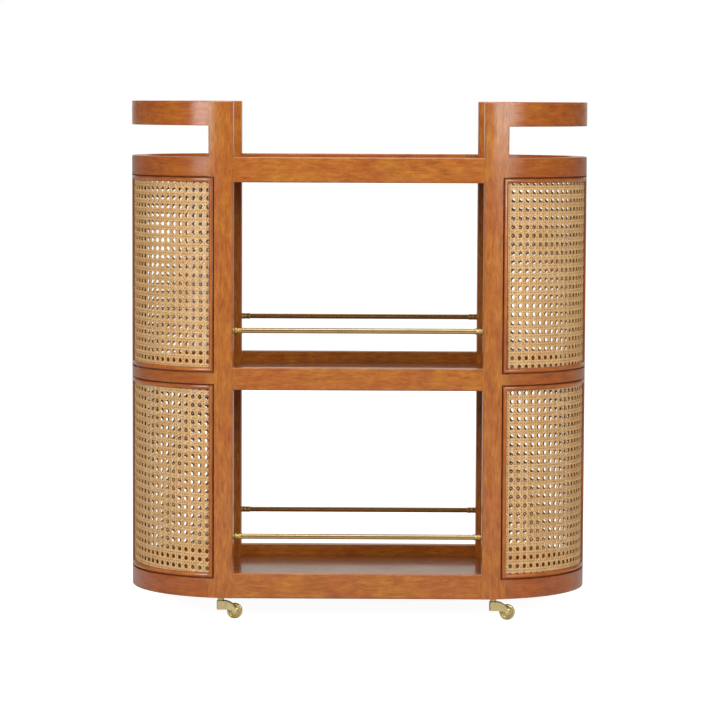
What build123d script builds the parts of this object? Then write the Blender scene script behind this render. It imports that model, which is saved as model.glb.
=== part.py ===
from build123d import *
import math
import os

os.makedirs("parts", exist_ok=True)

# Driving dimensions in millimetres
# X runs along the cart, Y from its front to its back and Z up from the floor
cart_width = 838.0
cart_depth = 406.0
bay_width = 449.0

# Heights, from the floor up
underside_height = 40.0
base_rail_height = 45.0
lower_bay_height = 332.0
mid_rail_height = 40.0
upper_bay_height = 332.0
top_rail_height = 45.0
hand_gap = 56.0
handle_height = 43.5

# Timber sections
post_width = 44.0
post_depth = 50.0
frame_thickness = 25.0
stile_width = 50.0
arris = 1.5

# Joinery
tenon_thickness = 10.0
tenon_length = 14.0
tenon_shoulder = 9.0
stile_tenon_width = 28.0
stile_tenon_length = 10.0
joint_clearance = 0.1

# Shelf boards, set below the tops of the rails and bands
shelf_thickness = 12.0
shelf_recess = 20.0

# Cane panels, and the beads that hold them in their rebates
bead_width = 9.0
bead_thickness = 4.0
bead_quirk = 1.5
cane_thickness = 1.5
cane_columns = 3
cane_rows = 4
cane_bar_width = 34.0

# Gallery rods above the middle and base shelves
rod_diameter = 9.5
rod_rise = 66.5
ferrule_diameter = 11.0
ferrule_length = 15.5

# Casters
wheel_diameter = 28.0
wheel_width = 9.0
wheel_side_gap = 0.4
wheel_end_gap = 1.0
axle_diameter = 4.0
axle_offset = 25.0
running_clearance = 0.05
socket_diameter = 15.0
socket_bottom = 16.6
socket_height = 16.0
arm_shoulder = 5.0
arm_root = 11.5
arm_boss_diameter = 9.0
arm_landing_angle = 60.0
stem_diameter = 7.0
stem_length = 28.0
stem_end_gap = 0.3

# Levels worked out from the heights
base_top = underside_height + base_rail_height
mid_bottom = base_top + lower_bay_height
mid_top = mid_bottom + mid_rail_height
tray_bottom = mid_top + upper_bay_height
tray_top = tray_bottom + top_rail_height
handle_bottom = tray_top + hand_gap
cart_height = handle_bottom + handle_height

# Plan geometry of the outline, a straight middle between two half-round ends
end_radius = cart_depth / 2
end_centre = cart_width / 2 - end_radius
post_inner = bay_width / 2
post_outer = post_inner + post_width
post_centre_x = post_inner + post_width / 2
post_centre_y = end_radius - post_depth / 2
frame_middle_radius = end_radius - frame_thickness / 2
band_tenon_y = math.sqrt(frame_middle_radius**2 - (post_outer - end_centre) ** 2)
rebate_width = bead_width + bead_quirk
rebate_depth = bead_thickness + cane_thickness

# Angles of a quarter panel, from the front of the end towards its middle
opening_start = math.degrees(math.asin((post_outer - end_centre) / end_radius))
opening_end = 90.0 - math.degrees(math.asin(stile_width / 2 / end_radius))
rebate_angle = math.degrees(rebate_width / end_radius)
bead_angle = math.degrees(bead_width / end_radius)


def save(piece, name):
    """Label one finished piece and write it under its own name."""
    piece.label = name
    export_step(piece, "parts/" + name + ".step")


def mirrored(piece, plane):
    """Mirror image of a piece across one of the cart's two upright middle planes."""
    with BuildPart() as image:
        mirror(piece, about=plane)
    return image.part


def save_both_sides(piece, name):
    """Write a right-hand piece together with its mirror image on the left."""
    with BuildPart() as pair:
        add(piece)
        mirror(about=Plane.YZ)
    save(pair.part, name)


def save_all_corners(piece, name):
    """Write a front right piece together with its three mirror images."""
    with BuildPart() as front_and_rear:
        add(piece)
        mirror(about=Plane.XZ)
    save_both_sides(front_and_rear.part, name)


def tenon_height(rail_height):
    """Height of the tenon on a rail or band, less a shoulder above and below."""
    return rail_height - 2 * tenon_shoulder


def quarter_sector(inner, outer, margin, level):
    """Plan of the front right quarter panel, wider than its opening by an angle at each side."""
    start = opening_start - margin - 90.0
    sweep = opening_end - opening_start + 2 * margin
    with BuildSketch(Plane.XY.offset(level)) as sector:
        with BuildLine():
            outside = CenterArc((end_centre, 0), outer, start, sweep)
            inside = CenterArc((end_centre, 0), inner, start, sweep)
            Line(outside @ 0, inside @ 0)
            Line(outside @ 1, inside @ 1)
        make_face()
    return sector.sketch


def panel_rebate(bottom, top):
    """Space that a cane panel and its bead take out of the frame, front and rear."""
    past_outline = end_radius + rebate_depth
    floor = end_radius - rebate_depth
    plan = quarter_sector(floor, past_outline, rebate_angle, bottom - rebate_width)
    with BuildPart() as rebate:
        extrude(plan, amount=top - bottom + 2 * rebate_width)
        mirror(about=Plane.XZ)
    return rebate.part


def end_ring(low, height, cut_at, cut_width):
    """Ring of the frame's section round the right end, kept within a width from a cut outwards."""
    with BuildPart() as ring:
        with BuildSketch(Plane.XY.offset(low)):
            SlotOverall(cart_width, cart_depth)
            SlotOverall(
                cart_width - 2 * frame_thickness,
                cart_depth - 2 * frame_thickness,
                mode=Mode.SUBTRACT,
            )
            with Locations((cut_at, 0)):
                Rectangle(
                    cart_width,
                    cut_width,
                    align=(Align.MIN, Align.CENTER),
                    mode=Mode.INTERSECT,
                )
        extrude(amount=height)
    return ring.part


def end_tenons(low, height):
    """Stub tenons on the two ends of a half-round ring, square to the posts."""
    with BuildPart() as tenons:
        with Locations(
            (post_outer, -band_tenon_y, low + height / 2),
            (post_outer, band_tenon_y, low + height / 2),
        ):
            Box(
                tenon_length,
                tenon_thickness,
                tenon_height(height),
                align=(Align.MAX, Align.CENTER, Align.CENTER),
            )
    return tenons.part


def post_mortise(height):
    """Mortise for a rail's or band's tenon, centred on the face that it is cut into."""
    with BuildPart() as mortise:
        Box(
            2 * (tenon_length + joint_clearance),
            tenon_thickness + 2 * joint_clearance,
            tenon_height(height) + 2 * joint_clearance,
        )
    return mortise.part


# Levels of what meets the posts: (underside, height)
rail_levels = {
    "base": (underside_height, base_rail_height),
    "mid": (mid_bottom, mid_rail_height),
    "top": (tray_bottom, top_rail_height),
}
panel_openings = {"lower": (base_top, mid_bottom), "upper": (mid_top, tray_bottom)}
rebates = [panel_rebate(bottom, top) for bottom, top in panel_openings.values()]

# Posts run from the underside to the handles, and their faces follow the outline of the cart
# Their corners are eased only where nothing butts against them
SQUARE, BAY, GRIP, CROWN = range(4)
post_zones = [
    (underside_height, base_top, SQUARE),
    (base_top, mid_bottom, BAY),
    (mid_bottom, mid_top, SQUARE),
    (mid_top, tray_bottom, BAY),
    (tray_bottom, tray_top, SQUARE),
    (tray_top, handle_bottom, GRIP),
    (handle_bottom, cart_height, CROWN),
]
with BuildPart() as post:
    for zone_bottom, zone_top, corners in post_zones:
        with BuildSketch(Plane.XY.offset(zone_bottom)) as section:
            SlotOverall(cart_width, cart_depth)
            with Locations((post_centre_x, -post_centre_y)):
                Rectangle(post_width, post_depth, mode=Mode.INTERSECT)
            inner_corners = section.vertices().group_by(Axis.X)[0]
            outer_corners = section.vertices().group_by(Axis.X)[-1].sort_by(Axis.Y)
            if corners == BAY:
                chamfer(inner_corners + outer_corners[-1:], length=arris)
            elif corners == GRIP:
                chamfer(inner_corners + outer_corners, length=arris)
            elif corners == CROWN:
                chamfer(inner_corners, length=arris)
        extrude(amount=zone_top - zone_bottom)
    crown_edges = post.faces().sort_by(Axis.Z)[-1].edges().sort_by(Axis.X)[:-1]
    chamfer(crown_edges, length=arris)
    for rebate in rebates:
        add(rebate, mode=Mode.SUBTRACT)
    for low, height in rail_levels.values():
        with Locations(
            (post_inner, -frame_middle_radius, low + height / 2),
            (post_outer, -band_tenon_y, low + height / 2),
        ):
            add(post_mortise(height), mode=Mode.SUBTRACT)
    with Locations((post_outer, -band_tenon_y, handle_bottom + handle_height / 2)):
        add(post_mortise(handle_height), mode=Mode.SUBTRACT)
    with Locations((post_centre_x, -post_centre_y, underside_height)):
        Hole(stem_diameter / 2 + running_clearance, stem_length)
save(post.part, "post_front_right")
save(mirrored(post.part, Plane.YZ), "post_front_left")
rear_post = mirrored(post.part, Plane.XZ)
save(rear_post, "post_rear_right")
save(mirrored(rear_post, Plane.YZ), "post_rear_left")

# Rails between the posts, tenoned at both ends
for name, (low, height) in rail_levels.items():
    with BuildPart() as rail:
        with Locations((0, -frame_middle_radius, low + height / 2)):
            Box(bay_width, frame_thickness, height)
            chamfer(rail.edges().filter_by(Axis.X), length=arris)
            Box(bay_width + 2 * tenon_length, tenon_thickness, tenon_height(height))
    save(rail.part, name + "_rail_front")
    save(mirrored(rail.part, Plane.XZ), name + "_rail_rear")

# Half-round bands, which carry the line of the rails round each end, and are mortised for stiles
stile_x = end_centre + frame_middle_radius
stile_joints = {"base": [base_top], "mid": [mid_bottom, mid_top], "top": [tray_bottom]}
for name, (low, height) in rail_levels.items():
    with BuildPart() as band:
        add(end_ring(low, height, post_outer, cart_depth))
        for rebate in rebates:
            add(rebate, mode=Mode.SUBTRACT)
        for joint_level in stile_joints[name]:
            with Locations((stile_x, 0, joint_level)):
                Box(
                    tenon_thickness + 2 * joint_clearance,
                    stile_tenon_width + 2 * joint_clearance,
                    2 * (stile_tenon_length + joint_clearance),
                    mode=Mode.SUBTRACT,
                )
        add(end_tenons(low, height))
    save_both_sides(band.part, name + "_bands")

# Half-round handles between the tops of the posts
with BuildPart() as handle:
    add(end_ring(handle_bottom, handle_height, post_outer, cart_depth))
    add(end_tenons(handle_bottom, handle_height))
save_both_sides(handle.part, "handles")

# Stiles at the middle of each end, tenoned between the bands
for name, (opening_bottom, opening_top) in panel_openings.items():
    with BuildPart() as stile:
        add(end_ring(opening_bottom, opening_top - opening_bottom, end_centre, stile_width))
        for rebate in rebates:
            add(rebate, mode=Mode.SUBTRACT)
        with Locations((stile_x, 0, (opening_bottom + opening_top) / 2)):
            Box(
                tenon_thickness,
                stile_tenon_width,
                opening_top - opening_bottom + 2 * stile_tenon_length,
            )
    save_both_sides(stile.part, "end_stiles_" + name)

# Shelf boards, notched round the posts and butted to the rails and bands
for name, (low, height) in rail_levels.items():
    with BuildPart() as shelf:
        with BuildSketch(Plane.XY.offset(low + height - shelf_recess - shelf_thickness)):
            SlotOverall(cart_width - 2 * frame_thickness, cart_depth - 2 * frame_thickness)
            with GridLocations(2 * post_centre_x, 2 * post_centre_y, 2, 2):
                Rectangle(post_width, post_depth, mode=Mode.SUBTRACT)
        extrude(amount=shelf_thickness)
    save(shelf.part, name + "_shelf")

# Cane panels, each bent to a quarter of the end and laid on the floor of its rebate,
# with the open weave drawn as a plain grid
# Beads over their edges, flush with the frame, with a quirk all round as a shadow line
cane_face = end_radius - bead_thickness
column_angle = (opening_end - opening_start) / cane_columns
column_width = math.radians(column_angle) * cane_face
first_column = opening_start + column_angle / 2 - 90.0
columns_sweep = column_angle * (cane_columns - 1)
for name, (opening_bottom, opening_top) in panel_openings.items():
    opening_height = opening_top - opening_bottom
    cover_bottom = opening_bottom - bead_width
    cover_height = opening_height + 2 * bead_width
    cane_plan = quarter_sector(cane_face - cane_thickness, cane_face, bead_angle, cover_bottom)
    bead_plan = quarter_sector(cane_face, end_radius, bead_angle, cover_bottom)
    window_plan = quarter_sector(cane_face, end_radius, 0, opening_bottom)
    row_pitch = opening_height / cane_rows
    row_middles = [opening_bottom + row_pitch * (row + 0.5) for row in range(cane_rows)]
    with BuildPart() as cane:
        extrude(cane_plan, amount=cover_height)
        with Locations(*[(end_centre, 0, middle) for middle in row_middles]):
            with PolarLocations(cane_face, cane_columns, first_column, columns_sweep, endpoint=True):
                Box(
                    4 * cane_thickness,
                    column_width - cane_bar_width,
                    row_pitch - cane_bar_width,
                    mode=Mode.SUBTRACT,
                )
    save_all_corners(cane.part, "cane_" + name)
    with BuildPart() as bead:
        extrude(bead_plan, amount=cover_height)
        extrude(window_plan, amount=opening_height, mode=Mode.SUBTRACT)
    save_all_corners(bead.part, "beads_" + name)

# Gallery rods along the front and back of the middle and base shelves
# Ferrules at their ends, solid, butted against the posts
rod_heights = {"base": base_top + rod_rise, "mid": mid_top + rod_rise}
rod_span = bay_width - 2 * ferrule_length
for name, rod_height in rod_heights.items():
    with BuildPart() as rod:
        with BuildSketch(Plane.YZ):
            with Locations((-frame_middle_radius, rod_height)):
                Circle(rod_diameter / 2)
        extrude(amount=rod_span / 2, both=True)
    save(rod.part, "gallery_rod_" + name + "_front")
    save(mirrored(rod.part, Plane.XZ), "gallery_rod_" + name + "_rear")
with BuildPart() as ferrules:
    for rod_height in rod_heights.values():
        with BuildSketch(Plane.YZ.offset(rod_span / 2)):
            with Locations((-frame_middle_radius, rod_height), (frame_middle_radius, rod_height)):
                Circle(ferrule_diameter / 2)
        extrude(amount=ferrule_length)
save_both_sides(ferrules.part, "gallery_ferrules")

# Casters, drawn on the swivel axis with the wheel trailing towards +X
axle_height = wheel_diameter / 2
socket_top = socket_bottom + socket_height
fork_gap = wheel_width + 2 * wheel_side_gap
boss_radius = arm_boss_diameter / 2
landing = math.radians(arm_landing_angle)
arm_landing = (
    axle_offset + boss_radius * math.cos(landing),
    axle_height + boss_radius * math.sin(landing),
)

# Horn: a stem that turns in the post, a round body that runs out into an arched fork,
# and the axle fast between its cheeks
with BuildPart() as horn:
    with BuildSketch(Plane.XZ):
        with BuildLine():
            crown = Line((0, socket_top), (arm_shoulder, socket_top))
            arch = TangentArc(crown @ 1, arm_landing, tangent=(1, 0))
            Polyline(
                arch @ 1,
                (axle_offset, axle_height),
                (arm_root, socket_bottom),
                (0, socket_bottom),
                crown @ 0,
            )
        make_face()
        with Locations((axle_offset, axle_height)):
            Circle(boss_radius)
    extrude(amount=socket_diameter / 2, both=True)
    with BuildSketch(Plane.XY.offset(socket_bottom)):
        Circle(socket_diameter / 2)
    extrude(amount=socket_height)
    with Locations((axle_offset - wheel_diameter / 2 - wheel_end_gap, 0, axle_height)):
        Box(
            2 * wheel_diameter,
            fork_gap,
            2 * wheel_diameter,
            align=(Align.MIN, Align.CENTER, Align.CENTER),
            mode=Mode.SUBTRACT,
        )
    with BuildSketch(Plane.XZ):
        with Locations((axle_offset, axle_height)):
            Circle(axle_diameter / 2)
    extrude(amount=fork_gap / 2, both=True)
    with BuildSketch(Plane.XY.offset(socket_top)):
        Circle(stem_diameter / 2)
    extrude(amount=underside_height - socket_top + stem_length - stem_end_gap)

# Wheel: a solid brass disc bored for the axle
with BuildPart() as wheel:
    with BuildSketch(Plane.XZ):
        with Locations((axle_offset, axle_height)):
            Circle(wheel_diameter / 2)
            Circle(axle_diameter / 2 + running_clearance, mode=Mode.SUBTRACT)
    extrude(amount=wheel_width / 2, both=True)

corner_signs = {
    "front_left": (-1, -1),
    "front_right": (1, -1),
    "rear_left": (-1, 1),
    "rear_right": (1, 1),
}
for corner, (sign_x, sign_y) in corner_signs.items():
    for piece, name in ((horn.part, "horn"), (wheel.part, "wheel")):
        with BuildPart() as placed:
            with Locations((sign_x * post_centre_x, sign_y * post_centre_y, 0)):
                add(piece)
        save(placed.part, "caster_" + name + "_" + corner)
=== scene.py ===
import math
import random

import bmesh
import bpy
from mathutils import Matrix, Vector


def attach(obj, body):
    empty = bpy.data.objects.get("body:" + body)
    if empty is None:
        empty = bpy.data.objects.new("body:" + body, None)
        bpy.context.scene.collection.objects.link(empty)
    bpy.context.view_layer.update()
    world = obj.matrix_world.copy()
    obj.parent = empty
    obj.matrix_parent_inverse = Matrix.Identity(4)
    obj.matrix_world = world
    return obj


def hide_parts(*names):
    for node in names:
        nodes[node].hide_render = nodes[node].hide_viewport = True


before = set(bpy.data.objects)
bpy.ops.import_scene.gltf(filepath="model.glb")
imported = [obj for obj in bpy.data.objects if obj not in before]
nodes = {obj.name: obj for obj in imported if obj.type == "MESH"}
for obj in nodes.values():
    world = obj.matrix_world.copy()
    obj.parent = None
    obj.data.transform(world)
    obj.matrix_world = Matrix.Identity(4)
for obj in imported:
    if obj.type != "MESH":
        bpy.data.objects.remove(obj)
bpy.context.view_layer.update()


# Corner posts: four lengths of solid hardwood, from the casters up to the handles, the grain upright.
# They are planed square, rounded outside to the line of the ends, mortised for the rails and bands,
# and stained orange-brown under a clear satin lacquer, which wears a little paler along the arrises.

POST_INSIDE, POST_OUTSIDE = 0.2245, 0.2685
POST_ARRIS = 0.0004


def shader_group(name, inputs, outputs):
    """Start a shader node group with named inputs and outputs, given as (name, kind) pairs."""
    group = bpy.data.node_groups.new(name, "ShaderNodeTree")
    for label, kind in inputs:
        group.interface.new_socket(label, in_out="INPUT", socket_type="NodeSocket" + kind)
    for label, kind in outputs:
        group.interface.new_socket(label, in_out="OUTPUT", socket_type="NodeSocket" + kind)
    return group, group.nodes.new("NodeGroupInput").outputs, group.nodes.new("NodeGroupOutput").inputs


def put(tree, kind, wires=(), **settings):
    """Add a shader node, set its properties, and wire or set its inputs by name or number."""
    made = tree.nodes.new("ShaderNode" + kind)
    for name, value in settings.items():
        setattr(made, name, value)
    for name, source in dict(wires).items():
        if isinstance(source, bpy.types.NodeSocket):
            tree.links.new(source, made.inputs[name])
        else:
            made.inputs[name].default_value = source
    return made


def reckon(tree, operation, *values, clamp=False):
    """Arithmetic on sockets and numbers; gives the socket with the result."""
    return put(tree, "Math", dict(enumerate(values)), operation=operation, use_clamp=clamp).outputs[0]


def stretched_noise(tree, place, across, along, detail, roughness=0.55):
    """Noise drawn out lengthways: features per metre across the grain and along it."""
    drawn = put(tree, "VectorMath", {0: place, 1: (across, across, along)}, operation="MULTIPLY")
    noise = put(
        tree,
        "TexNoise",
        {"Vector": drawn.outputs[0], "Scale": 1.0, "Detail": detail, "Roughness": roughness},
    )
    return noise.outputs[0]


def rescaled(tree, value, low, high, to_low=0.0, to_high=1.0):
    """Spread a range of values over another, and hold it there."""
    wires = {0: value, 1: low, 2: high, 3: to_low, 4: to_high}
    return put(tree, "MapRange", wires, clamp=True).outputs[0]


def blended(tree, share, first, second, how="MIX"):
    """Mix two colours; gives the colour socket."""
    wires = {0: share, 6: first, 7: second}
    return put(tree, "Mix", wires, data_type="RGBA", blend_type=how).outputs[2]


# The stained wood: fine streaks and soft figure along the grain, between amber and russet where the stain
# took unevenly, and short open pores
AMBER_DARK, AMBER_LIGHT = (0.362, 0.092, 0.009, 1), (0.562, 0.192, 0.021, 1)
RUSSET_DARK, RUSSET_LIGHT = (0.335, 0.070, 0.008, 1), (0.518, 0.145, 0.018, 1)
FLECK_BROWN = (0.200, 0.045, 0.006, 1)
PORE_BROWN = (0.120, 0.028, 0.005, 1)
# Deeper stain, which on the beads carries their painted shade
DEEP_STAIN_AND_SHADE = (0.140, 0.030, 0.006, 1)
stained_grain, given, gives = shader_group(
    "Stained Grain",
    [("Along Grain", "Vector"), ("Depth of Stain and Shade", "Float"), ("Pore Strength", "Float")],
    [("Colour", "Color"), ("Roughness", "Float"), ("Lustre", "Float"), ("Height", "Float")],
)
wander = stretched_noise(stained_grain, given["Along Grain"], 9.0, 4.0, 1.0)
swayed = put(
    stained_grain,
    "CombineXYZ",
    {
        0: reckon(stained_grain, "MULTIPLY", wander, 0.02),
        1: reckon(stained_grain, "MULTIPLY", wander, 0.014),
    },
)
lay = put(
    stained_grain, "VectorMath", {0: given["Along Grain"], 1: swayed.outputs[0]}, operation="ADD"
).outputs[0]
streaks = stretched_noise(stained_grain, lay, 260.0, 30.0, 4.0, 0.62)
fibre = stretched_noise(stained_grain, lay, 900.0, 60.0, 2.0)
figure = stretched_noise(stained_grain, lay, 95.0, 42.0, 3.0)
blotches = stretched_noise(stained_grain, lay, 26.0, 13.0, 3.0, 0.6)
pores = rescaled(stained_grain, stretched_noise(stained_grain, lay, 1200.0, 95.0, 1.0), 0.60, 0.70)
flecks = rescaled(stained_grain, stretched_noise(stained_grain, lay, 420.0, 48.0, 2.0), 0.55, 0.70)
light_share = reckon(
    stained_grain,
    "ADD",
    reckon(stained_grain, "MULTIPLY_ADD", streaks, 1.9, reckon(stained_grain, "MULTIPLY", figure, 1.5)),
    reckon(stained_grain, "MULTIPLY_ADD", fibre, 0.8, -1.60),
    clamp=True,
)
amber = blended(stained_grain, light_share, AMBER_DARK, AMBER_LIGHT)
russet = blended(stained_grain, light_share, RUSSET_DARK, RUSSET_LIGHT)
colour = blended(stained_grain, rescaled(stained_grain, blotches, 0.38, 0.62), russet, amber)
colour = blended(stained_grain, reckon(stained_grain, "MULTIPLY", flecks, 0.30), colour, FLECK_BROWN)
pore_share = reckon(stained_grain, "MULTIPLY", pores, given["Pore Strength"])
colour = blended(stained_grain, pore_share, colour, PORE_BROWN)
colour = blended(stained_grain, given["Depth of Stain and Shade"], colour, DEEP_STAIN_AND_SHADE)
stained_grain.links.new(colour, gives["Colour"])
dullness = reckon(stained_grain, "MULTIPLY_ADD", pores, 0.12, 0.30)
dullness = reckon(stained_grain, "MULTIPLY_ADD", streaks, 0.16, dullness)
stained_grain.links.new(dullness, gives["Roughness"])
smears = stretched_noise(stained_grain, lay, 110.0, 14.0, 3.0, 0.6)
stained_grain.links.new(rescaled(stained_grain, smears, 0.36, 0.62, 0.62, 1.0), gives["Lustre"])
raised = reckon(stained_grain, "MULTIPLY", streaks, 0.3)
raised = reckon(stained_grain, "MULTIPLY_ADD", pores, -0.7, raised)
stained_grain.links.new(reckon(stained_grain, "MULTIPLY_ADD", fibre, 0.35, raised), gives["Height"])

# Handling along an arris: a mask that is strongest on the rounded edges, and patchy, and the darker border
# beside them, which is painted shade where the face turns over to the edge
WORN_REACH = 0.0015
MARGIN_BREADTH = 3.4
# Painted shade: the brown of the darker border beside the arrises
MARGIN_SHADE_BROWN = (0.220, 0.045, 0.007, 1)
RUBBED_WOOD = (0.620, 0.270, 0.060, 1)
EVERYWHERE = (-1.0, 9.0)
FADE = 0.004
worn_arris, given, gives = shader_group(
    "Worn Arris",
    [("Place", "Vector"), ("Reach", "Float"), ("Strength", "Float")],
    [("Mask", "Float"), ("Margin", "Float")],
)
rounded = put(worn_arris, "Bevel", {"Radius": given["Reach"]}, samples=6)
surface = put(worn_arris, "NewGeometry")
agreement = put(
    worn_arris,
    "VectorMath",
    {0: rounded.outputs[0], 1: surface.outputs["Normal"]},
    operation="DOT_PRODUCT",
)
turned = rescaled(worn_arris, agreement.outputs["Value"], 0.995, 0.90)
patches = stretched_noise(worn_arris, given["Place"], 60.0, 60.0, 3.0)
patches = rescaled(worn_arris, patches, 0.35, 0.65, 0.35, 1.0)
worn_arris.links.new(
    reckon(worn_arris, "MULTIPLY", reckon(worn_arris, "MULTIPLY", turned, patches), given["Strength"]),
    gives["Mask"],
)
# The border beside the arrises, which is made darker as painted shade
margin_reach = reckon(worn_arris, "MULTIPLY", given["Reach"], MARGIN_BREADTH)
broad = put(worn_arris, "Bevel", {"Radius": margin_reach}, samples=4)
agreement = put(
    worn_arris,
    "VectorMath",
    {0: broad.outputs[0], 1: surface.outputs["Normal"]},
    operation="DOT_PRODUCT",
)
beside = rescaled(worn_arris, agreement.outputs["Value"], 0.998, 0.90)
worn_arris.links.new(reckon(worn_arris, "MULTIPLY", beside, patches), gives["Margin"])


def grouped(tree, group, wires):
    """Place a shader group in a material and wire its inputs."""
    made = tree.nodes.new("ShaderNodeGroup")
    made.node_tree = group
    for name, source in wires.items():
        if isinstance(source, bpy.types.NodeSocket):
            tree.links.new(source, made.inputs[name])
        else:
            made.inputs[name].default_value = source
    return made.outputs


def blank_material(name):
    """A new node material; gives it with its tree, its shader's inputs and its object coordinates."""
    material = bpy.data.materials.new(name)
    material.use_nodes = True
    tree = material.node_tree
    shader = tree.nodes["Principled BSDF"].inputs
    place = put(tree, "TexCoord").outputs["Object"]
    return material, tree, shader, place


def lacquered(
    tree,
    shader,
    place,
    along,
    depth=0.0,
    pores=0.5,
    coat=0.95,
    coat_roughness=0.17,
    relief=0.00008,
    free=EVERYWHERE,
    joint=None,
    margin_shade=0.45,
    dye=None,
):
    """Join the stained grain and the worn arrises to a shader, under a clear coat.

    depth and pores weigh the deeper stain, which on the beads also carries their painted shade, and the
    pores; the margin weight gives the painted shade beside the arrises.
    free gives the distances from the cart's middle between which the piece's edges are free to wear.
    joint gives the distance at which the piece meets its posts, and the reach over which the stain,
    rubbed across the joint, hides where one grain ends and the other begins. dye is a tint for the
    whole piece, for wood that took more of the red.
    """
    wood = grouped(
        tree, stained_grain, {"Along Grain": along, "Depth of Stain and Shade": depth, "Pore Strength": pores}
    )
    sideways = reckon(tree, "ABSOLUTE", put(tree, "SeparateXYZ", {0: place}).outputs[0])
    grain_colour, grain_height = wood["Colour"], wood["Height"]
    if dye:
        grain_colour = blended(tree, 1.0, grain_colour, dye, "MULTIPLY")
    if joint:
        upright = grouped(
            tree, stained_grain, {"Along Grain": place, "Depth of Stain and Shade": depth, "Pore Strength": pores}
        )
        share = rescaled(tree, sideways, joint[0], joint[0] + joint[1], 1.0, 0.0)
        grain_colour = blended(tree, share, grain_colour, upright["Colour"])
    worn = grouped(tree, worn_arris, {"Place": place, "Reach": WORN_REACH, "Strength": 0.45})
    within = reckon(
        tree,
        "MULTIPLY",
        rescaled(tree, sideways, free[0], free[0] + FADE),
        rescaled(tree, sideways, free[1] - FADE, free[1], 1.0, 0.0),
    )
    wear = reckon(tree, "MULTIPLY", worn["Mask"], within)
    # Painted shade in the border beside the arrises
    darker = reckon(tree, "MULTIPLY", reckon(tree, "MULTIPLY", worn["Margin"], within), margin_shade)
    grain_colour = blended(tree, darker, grain_colour, MARGIN_SHADE_BROWN)
    tree.links.new(blended(tree, wear, grain_colour, RUBBED_WOOD), shader["Base Color"])
    tree.links.new(reckon(tree, "MULTIPLY_ADD", wear, -0.10, wood["Roughness"]), shader["Roughness"])
    dented = put(tree, "Bump", {"Strength": 0.6, "Distance": relief, "Height": grain_height})
    tree.links.new(dented.outputs[0], shader["Normal"])
    shader["Specular IOR Level"].default_value = 0.15
    tree.links.new(reckon(tree, "MULTIPLY", wood["Lustre"], coat), shader["Coat Weight"])
    shader["Coat Roughness"].default_value = coat_roughness
    shader["Coat IOR"].default_value = 1.6


# Shading that is smooth over curves and sharp at the remaining edges, as a modifier
smooth_shading = bpy.data.node_groups.new("Smooth Shading", "GeometryNodeTree")
smooth_shading.interface.new_socket("Geometry", in_out="INPUT", socket_type="NodeSocketGeometry")
smooth_shading.interface.new_socket("Geometry", in_out="OUTPUT", socket_type="NodeSocketGeometry")
comes = smooth_shading.nodes.new("NodeGroupInput")
goes = smooth_shading.nodes.new("NodeGroupOutput")
all_smooth = smooth_shading.nodes.new("GeometryNodeSetShadeSmooth")
edge_angle = smooth_shading.nodes.new("GeometryNodeInputMeshEdgeAngle")
over_limit = smooth_shading.nodes.new("FunctionNodeCompare")
over_limit.operation = "GREATER_THAN"
over_limit.inputs["B"].default_value = math.radians(50)
edges_sharp = smooth_shading.nodes.new("GeometryNodeSetShadeSmooth")
edges_sharp.domain = "EDGE"
edges_sharp.inputs["Shade Smooth"].default_value = False
smooth_shading.links.new(comes.outputs[0], all_smooth.inputs["Geometry"])
smooth_shading.links.new(edge_angle.outputs["Unsigned Angle"], over_limit.inputs["A"])
smooth_shading.links.new(all_smooth.outputs[0], edges_sharp.inputs["Geometry"])
smooth_shading.links.new(over_limit.outputs[0], edges_sharp.inputs["Selection"])
smooth_shading.links.new(edges_sharp.outputs[0], goes.inputs[0])


# The choice of a piece's free edges, as a modifier: sharp ones whose distance from the cart's middle is
# between two limits, so that the ends that butt against another piece stay square
free_edges = bpy.data.node_groups.new("Free Edges", "GeometryNodeTree")
for label, kind in (("Geometry", "Geometry"), ("From", "Float"), ("To", "Float")):
    free_edges.interface.new_socket(label, in_out="INPUT", socket_type="NodeSocket" + kind)
free_edges.interface.new_socket("Geometry", in_out="OUTPUT", socket_type="NodeSocketGeometry")
comes = free_edges.nodes.new("NodeGroupInput").outputs
goes = free_edges.nodes.new("NodeGroupOutput").inputs
spot = free_edges.nodes.new("ShaderNodeSeparateXYZ")
free_edges.links.new(free_edges.nodes.new("GeometryNodeInputPosition").outputs[0], spot.inputs[0])
aside = reckon(free_edges, "ABSOLUTE", spot.outputs[0])
edge_angle = free_edges.nodes.new("GeometryNodeInputMeshEdgeAngle").outputs["Unsigned Angle"]
chosen = reckon(free_edges, "GREATER_THAN", edge_angle, math.radians(28))
past_start = reckon(free_edges, "GREATER_THAN", aside, comes["From"])
before_end = reckon(free_edges, "LESS_THAN", aside, comes["To"])
chosen = reckon(free_edges, "MULTIPLY", chosen, past_start)
chosen = reckon(free_edges, "MULTIPLY", chosen, before_end)
noted = free_edges.nodes.new("GeometryNodeStoreNamedAttribute")
noted.data_type, noted.domain = "FLOAT", "EDGE"
noted.inputs["Name"].default_value = "bevel_weight_edge"
free_edges.links.new(comes["Geometry"], noted.inputs["Geometry"])
free_edges.links.new(chosen, noted.inputs["Value"])
free_edges.links.new(noted.outputs[0], goes[0])


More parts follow.
